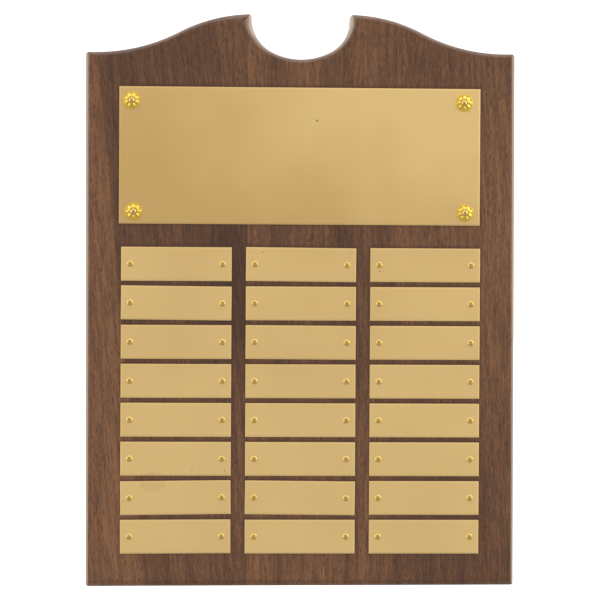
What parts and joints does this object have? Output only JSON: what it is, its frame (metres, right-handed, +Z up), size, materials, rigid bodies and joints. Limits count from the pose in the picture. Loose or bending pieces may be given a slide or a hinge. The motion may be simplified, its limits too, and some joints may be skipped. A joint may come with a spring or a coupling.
{
  "type": "wooden plaque",
  "caption": "Wall plaque with a notched, curved crown, a large brass header plate held by rosettes, and a grid of small brass name plates pinned to an edge-glued walnut board.",
  "frame": {"origin": "centre of the keyhole hanger's entry hole, in the plane of the plaque's back", "axes": "+X to the right seen from the front, +Z up the grain towards the horns, +Y out of the back into the wall, so the front faces -Y"},
  "size_m": [0.3048, 0.0224, 0.4064],
  "materials": {
    "walnut": "satin lacquered walnut with open pores",
    "sheet_brass": "satin-rolled sheet brass with bright bevelled edges",
    "pin_brass": "polished domed heads",
    "rosette_brass": "bright pressed brass, gold lacquered",
    "zinc_steel": "bright zinc plating"
  },
  "bodies": {
    "root": {"stave_left": "walnut", "stave_centre": "walnut", "stave_right": "walnut", "header_plate": "sheet_brass", "name_plate_r1_c1": "sheet_brass", "name_plate_r1_c2": "sheet_brass", "name_plate_r1_c3": "sheet_brass", "name_plate_r2_c1": "sheet_brass", "name_plate_r2_c2": "sheet_brass", "name_plate_r2_c3": "sheet_brass", "name_plate_r3_c1": "sheet_brass", "name_plate_r3_c2": "sheet_brass", "name_plate_r3_c3": "sheet_brass", "name_plate_r4_c1": "sheet_brass", "name_plate_r4_c2": "sheet_brass", "name_plate_r4_c3": "sheet_brass", "name_plate_r5_c1": "sheet_brass", "name_plate_r5_c2": "sheet_brass", "name_plate_r5_c3": "sheet_brass", "name_plate_r6_c1": "sheet_brass", "name_plate_r6_c2": "sheet_brass", "name_plate_r6_c3": "sheet_brass", "name_plate_r7_c1": "sheet_brass", "name_plate_r7_c2": "sheet_brass", "name_plate_r7_c3": "sheet_brass", "name_plate_r8_c1": "sheet_brass", "name_plate_r8_c2": "sheet_brass", "name_plate_r8_c3": "sheet_brass", "name_plate_pins": "pin_brass", "rosettes": "rosette_brass", "rosette_pins": "pin_brass", "keyhole_hanger": "zinc_steel", "hanger_screws": "zinc_steel"}
  },
  "joints": []
}
